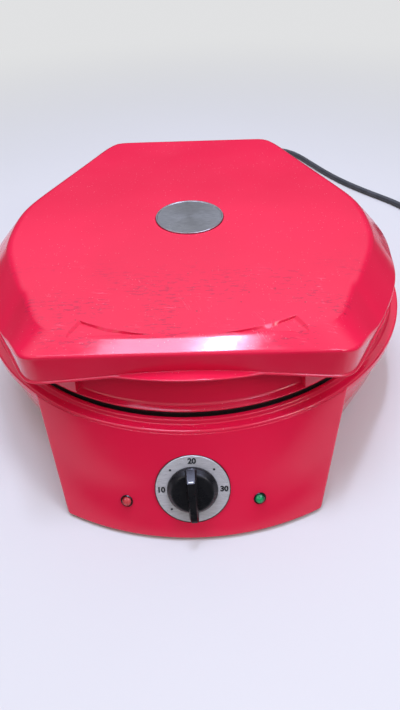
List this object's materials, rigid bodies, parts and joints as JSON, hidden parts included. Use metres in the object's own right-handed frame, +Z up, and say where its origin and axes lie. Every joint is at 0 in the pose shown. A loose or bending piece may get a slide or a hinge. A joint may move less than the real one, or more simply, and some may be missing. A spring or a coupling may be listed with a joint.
{
  "type": "electric pizza maker",
  "caption": "Round countertop pizza maker: red moulded base with pan, sloped panel with timer dial and lamps, and a hinged domed lid whose front edge is the handle.",
  "frame": {"origin": "bottom centre of the appliance's bounding box, feet on the table, without the cord", "axes": "+Z up, -Y towards the control panel, +X to the right of someone facing the panel"},
  "size_m": [0.5469, 0.6804, 0.1346],
  "materials": {
    "black_nonstick": "satin non-stick coating",
    "black_plastic": "semi gloss",
    "brushed_aluminium": "brushed",
    "cord_sheath": "satin sheath",
    "green_lens": "translucent lens",
    "heater_tube": "heat darkened",
    "painted_plate": "matt",
    "pale_moulding": "pale heat resisting moulding",
    "plug_brass": "bright",
    "red_lens": "translucent lens",
    "red_plastic": "high gloss moulded plastic",
    "rubber": "matt",
    "steel_sheet": "rolled sheet"
  },
  "bodies": {
    "base": {"base_housing": "red_plastic", "bottom_plate": "painted_plate", "cooking_pan": "black_nonstick", "cord_coil": "cord_sheath", "cord_tail": "cord_sheath", "dial_plate": "brushed_aluminium", "foot_front_left": "rubber", "foot_front_right": "rubber", "foot_rear_left": "rubber", "foot_rear_right": "rubber", "green_lamp": "green_lens", "green_lamp_bezel": "black_plastic", "hinge_lug_left": "red_plastic", "hinge_lug_right": "red_plastic", "hinge_pin": "steel_sheet", "lower_heater": "heater_tube", "lower_heater_clip_1": "steel_sheet", "lower_heater_clip_2": "steel_sheet", "lower_heater_clip_3": "steel_sheet", "lower_reflector": "steel_sheet", "plug_body": "black_plastic", "plug_pin_left": "plug_brass", "plug_pin_right": "plug_brass", "power_cord": "cord_sheath", "red_lamp": "red_lens", "red_lamp_bezel": "black_plastic", "strain_relief": "rubber", "terminal_block": "pale_moulding", "thermal_fuse": "plug_brass", "thermostat": "pale_moulding", "timer_body": "pale_moulding"},
    "lid": {"lid_badge": "brushed_aluminium", "lid_cover": "red_plastic", "lid_ring": "red_plastic", "upper_heater": "heater_tube", "upper_heater_clip_1": "steel_sheet", "upper_heater_clip_2": "steel_sheet", "upper_heater_clip_3": "steel_sheet", "upper_reflector": "steel_sheet"},
    "timer": {"timer_knob": "black_plastic", "timer_shaft": "steel_sheet"}
  },
  "joints": [
    {"name": "lid_hinge", "type": "hinge", "parent": "base", "child": "lid", "pos_m": [0, 0.19291, 0.092], "axis": [-1, 0, 0], "range_deg": [0, 100]},
    {"name": "timer_turn", "type": "hinge", "parent": "base", "child": "timer", "pos_m": [0, -0.18278, 0.03578], "axis": [0, 0.8955, -0.4451], "range_deg": [0, 273]}
  ]
}
